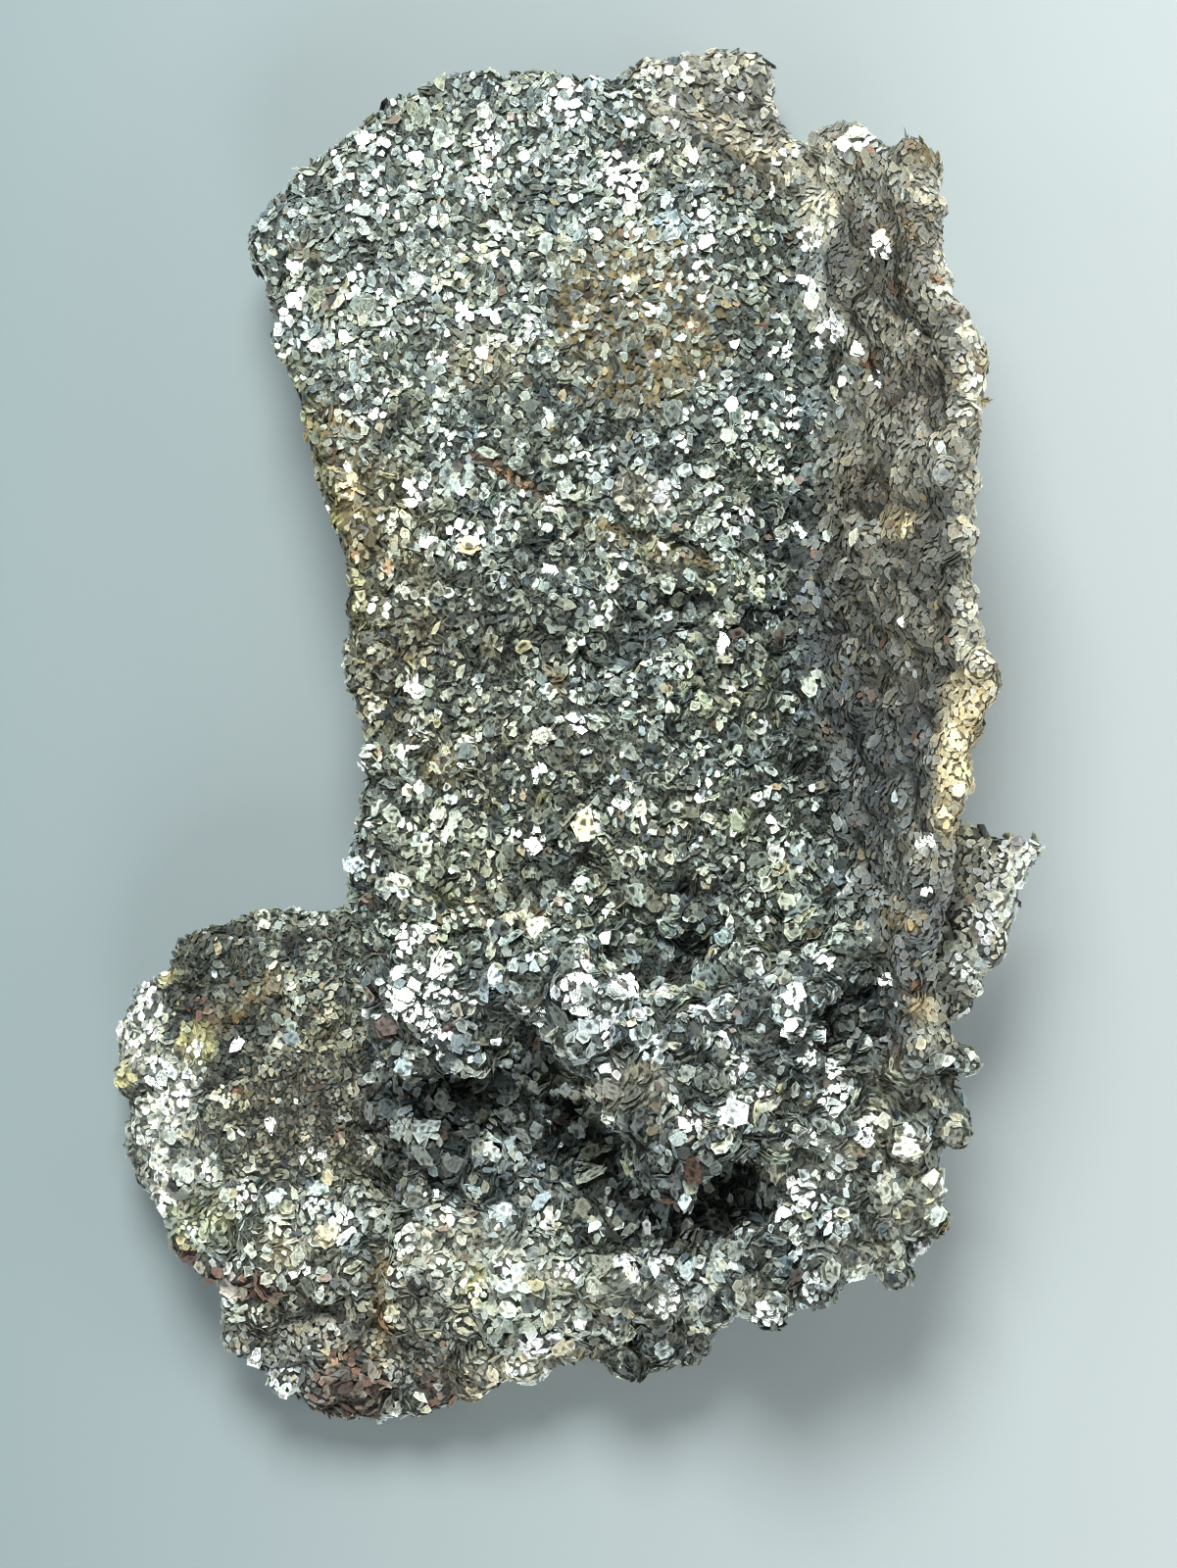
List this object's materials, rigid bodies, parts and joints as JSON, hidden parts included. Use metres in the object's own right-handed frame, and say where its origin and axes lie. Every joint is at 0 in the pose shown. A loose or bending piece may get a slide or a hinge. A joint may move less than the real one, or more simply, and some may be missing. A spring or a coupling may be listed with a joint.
{
  "type": "micaceous hematite specimen",
  "caption": "Hand-sized mineral specimen of grown-together plates coated with shiny scales, lying on its broken back.",
  "frame": {"origin": "on the resting plane, under the middle of the bounding box", "axes": "+Z out of the crystal-coated front, +Y toward the upper end of the main plate, +X toward the standing wall"},
  "size_m": [0.0568, 0.0848, 0.0226],
  "materials": {
    "silvery_crust": "glittering metallic scales"
  },
  "bodies": {
    "root": {"hematite_cluster": "silvery_crust"}
  },
  "joints": []
}
